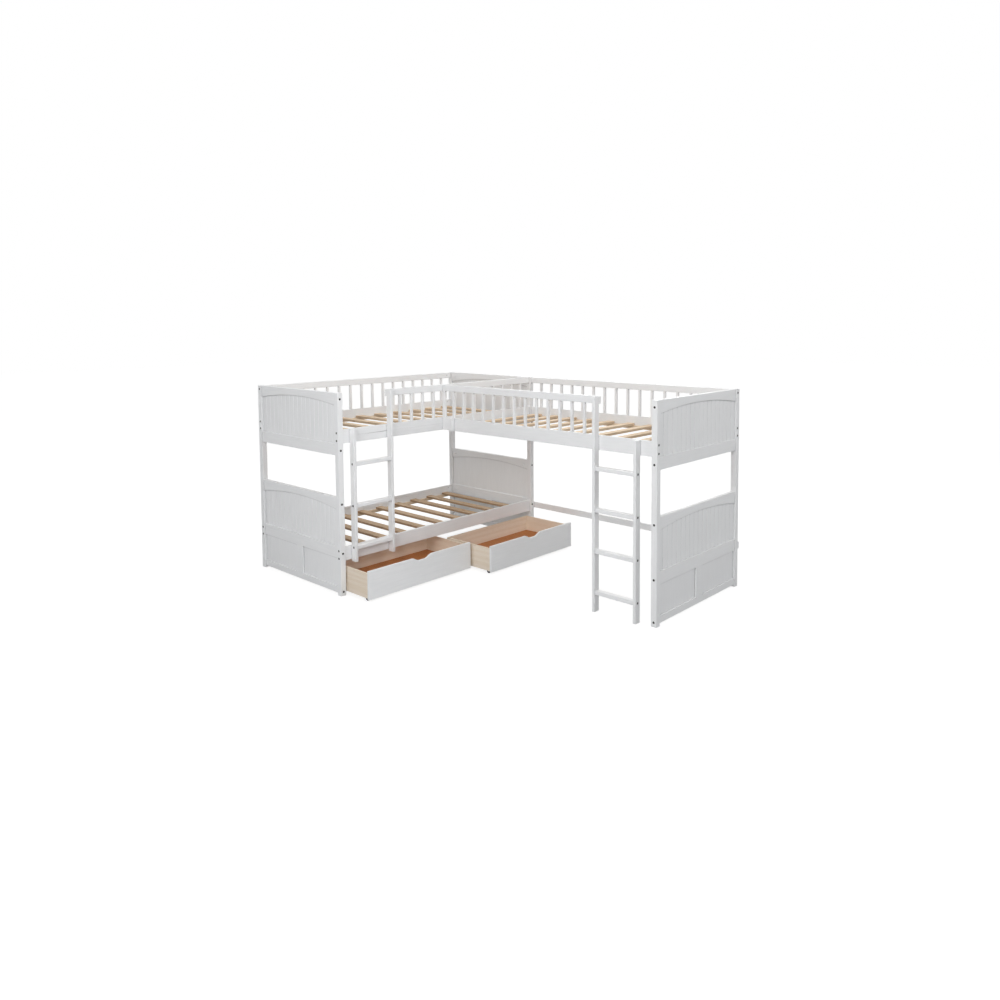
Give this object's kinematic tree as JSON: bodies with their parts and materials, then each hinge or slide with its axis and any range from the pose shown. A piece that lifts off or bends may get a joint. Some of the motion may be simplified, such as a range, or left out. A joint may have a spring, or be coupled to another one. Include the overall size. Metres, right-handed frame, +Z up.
{
  "type": "bunk bed",
  "caption": "L-shaped wooden bunk bed with a loft bed at a right angle, arched grooved end panels, guard rails, slatted decks, ladders and rolling under-bed drawers.",
  "frame": {"origin": "middle of the whole footprint, on the floor", "axes": "+X along the loft bed away from the bunk, +Y along the bunk towards the shared corner, +Z up"},
  "size_m": [3.04, 2.04, 1.43],
  "materials": {
    "white_paint": "satin white paint on pine",
    "pine": "bare planed pine",
    "plywood": "clear satin",
    "hardboard": "smooth hardboard",
    "dark_steel": "dark zinc",
    "bright_steel": "zinc plated",
    "dark_plastic": "matte"
  },
  "bodies": {
    "frame": {"left_posts": "white_paint", "left_top_rail": "white_paint", "left_upper_bottom_rail": "white_paint", "left_lower_top_rail": "white_paint", "left_beadboards": "white_paint", "left_lower_frame": "white_paint", "left_flat_panels": "white_paint", "corner_posts": "white_paint", "corner_top_rail": "white_paint", "corner_upper_bottom_rail": "white_paint", "corner_lower_top_rail": "white_paint", "corner_beadboards": "white_paint", "corner_lower_frame": "white_paint", "corner_flat_panels": "white_paint", "right_posts": "white_paint", "right_top_rail": "white_paint", "right_upper_bottom_rail": "white_paint", "right_lower_top_rail": "white_paint", "right_beadboards": "white_paint", "right_lower_frame": "white_paint", "right_flat_panels": "white_paint", "bunk_upper_side_rails": "white_paint", "bunk_lower_side_rails": "white_paint", "loft_side_rails": "white_paint", "corner_block": "white_paint", "back_stretcher": "white_paint", "bunk_guard_rails": "white_paint", "loft_guard_rails": "white_paint", "bunk_balusters": "white_paint", "loft_balusters": "white_paint", "bunk_ladder_stiles": "white_paint", "bunk_ladder_rungs": "white_paint", "loft_ladder_stiles": "white_paint", "loft_ladder_rungs": "white_paint", "slat_ledgers": "pine", "lower_deck_slats": "pine", "upper_deck_slats": "pine", "loft_deck_slats": "pine", "loft_dowels": "pine", "frame_bolts": "dark_steel", "ladder_bolts": "dark_steel", "barrel_nuts": "bright_steel"},
    "left_drawer": {"left_drawer_front": "white_paint", "left_drawer_sides": "plywood", "left_drawer_back": "plywood", "left_drawer_bottom": "hardboard", "left_drawer_forks": "bright_steel"},
    "left_wheel_1": {"left_drawer_wheel_1": "dark_plastic"},
    "left_wheel_2": {"left_drawer_wheel_2": "dark_plastic"},
    "left_wheel_3": {"left_drawer_wheel_3": "dark_plastic"},
    "left_wheel_4": {"left_drawer_wheel_4": "dark_plastic"},
    "right_drawer": {"right_drawer_front": "white_paint", "right_drawer_sides": "plywood", "right_drawer_back": "plywood", "right_drawer_bottom": "hardboard", "right_drawer_forks": "bright_steel"},
    "right_wheel_1": {"right_drawer_wheel_1": "dark_plastic"},
    "right_wheel_2": {"right_drawer_wheel_2": "dark_plastic"},
    "right_wheel_3": {"right_drawer_wheel_3": "dark_plastic"},
    "right_wheel_4": {"right_drawer_wheel_4": "dark_plastic"}
  },
  "joints": [
    {"name": "left_drawer_slide", "type": "slide", "parent": "frame", "child": "left_drawer", "axis": [1, 0, 0], "range_m": [-0.262, 0.243]},
    {"name": "left_wheel_1_spin", "type": "hinge", "parent": "left_drawer", "child": "left_wheel_1", "pos_m": [-0.254, -0.944, 0.02], "axis": [0, 1, 0], "continuous": true},
    {"name": "left_wheel_2_spin", "type": "hinge", "parent": "left_drawer", "child": "left_wheel_2", "pos_m": [-0.254, -0.047, 0.02], "axis": [0, 1, 0], "continuous": true},
    {"name": "left_wheel_3_spin", "type": "hinge", "parent": "left_drawer", "child": "left_wheel_3", "pos_m": [-0.661, -0.944, 0.02], "axis": [0, 1, 0], "continuous": true},
    {"name": "left_wheel_4_spin", "type": "hinge", "parent": "left_drawer", "child": "left_wheel_4", "pos_m": [-0.661, -0.047, 0.02], "axis": [0, 1, 0], "continuous": true},
    {"name": "right_drawer_slide", "type": "slide", "parent": "frame", "child": "right_drawer", "axis": [1, 0, 0], "range_m": [-0.469, 0.036]},
    {"name": "right_wheel_1_spin", "type": "hinge", "parent": "right_drawer", "child": "right_wheel_1", "pos_m": [-0.047, 0.027, 0.02], "axis": [0, 1, 0], "continuous": true},
    {"name": "right_wheel_2_spin", "type": "hinge", "parent": "right_drawer", "child": "right_wheel_2", "pos_m": [-0.047, 0.924, 0.02], "axis": [0, 1, 0], "continuous": true},
    {"name": "right_wheel_3_spin", "type": "hinge", "parent": "right_drawer", "child": "right_wheel_3", "pos_m": [-0.454, 0.027, 0.02], "axis": [0, 1, 0], "continuous": true},
    {"name": "right_wheel_4_spin", "type": "hinge", "parent": "right_drawer", "child": "right_wheel_4", "pos_m": [-0.454, 0.924, 0.02], "axis": [0, 1, 0], "continuous": true}
  ],
  "couplings": [
    {"joint": "left_wheel_1_spin", "follows": "left_drawer_slide", "rad_per_m": 50},
    {"joint": "left_wheel_2_spin", "follows": "left_drawer_slide", "rad_per_m": 50},
    {"joint": "left_wheel_3_spin", "follows": "left_drawer_slide", "rad_per_m": 50},
    {"joint": "left_wheel_4_spin", "follows": "left_drawer_slide", "rad_per_m": 50},
    {"joint": "right_wheel_1_spin", "follows": "right_drawer_slide", "rad_per_m": 50},
    {"joint": "right_wheel_2_spin", "follows": "right_drawer_slide", "rad_per_m": 50},
    {"joint": "right_wheel_3_spin", "follows": "right_drawer_slide", "rad_per_m": 50},
    {"joint": "right_wheel_4_spin", "follows": "right_drawer_slide", "rad_per_m": 50}
  ]
}
